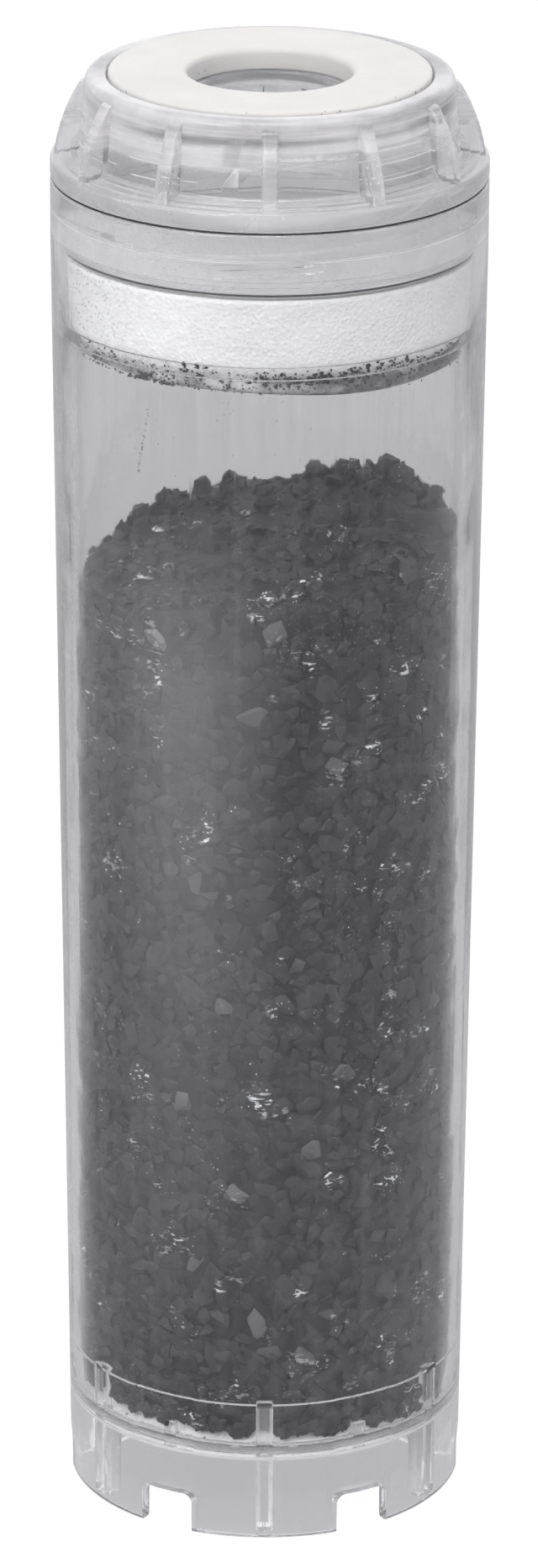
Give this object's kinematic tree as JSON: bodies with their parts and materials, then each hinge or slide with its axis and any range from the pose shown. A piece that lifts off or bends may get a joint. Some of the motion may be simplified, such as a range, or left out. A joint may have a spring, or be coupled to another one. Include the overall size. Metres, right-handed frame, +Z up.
{
  "type": "carbon filter cartridge",
  "caption": "Clear ten-inch filter cartridge filled with carbon granules, with foam pad, screw cap with grip ribs, white top washer and castellated foot.",
  "frame": {"origin": "on the axis, in the plane of the foot that the cartridge stands on", "axes": "+Z up along the axis towards the cap, -Y the side that faces the camera in the picture"},
  "size_m": [0.072, 0.072, 0.249],
  "materials": {
    "clear_plastic": "clear, glossy",
    "cap_plastic": "clear, glossy",
    "white_rubber": "matte",
    "black_rubber": "matte",
    "white_foam": "open cell foam",
    "white_felt": "felt",
    "carbon": "crushed granules"
  },
  "bodies": {
    "tube": {"body": "clear_plastic", "foam_pad": "white_foam", "felt_pad": "white_felt", "carbon_bed": "carbon"},
    "seal": {"seal_ring": "black_rubber"},
    "cap": {"screw_cap": "cap_plastic", "top_washer": "white_rubber"}
  },
  "joints": [
    {"name": "cap_rise", "type": "slide", "parent": "tube", "child": "seal", "axis": [0, 0, 1], "range_m": [0, 0.0117]},
    {"name": "cap_turn", "type": "hinge", "parent": "seal", "child": "cap", "pos_m": [0, 0, 0.2311], "axis": [0, 0, 1], "range_deg": [0, 350]}
  ],
  "couplings": [
    {"joint": "cap_rise", "follows": "cap_turn", "m_per_rad": 0.0019099}
  ]
}
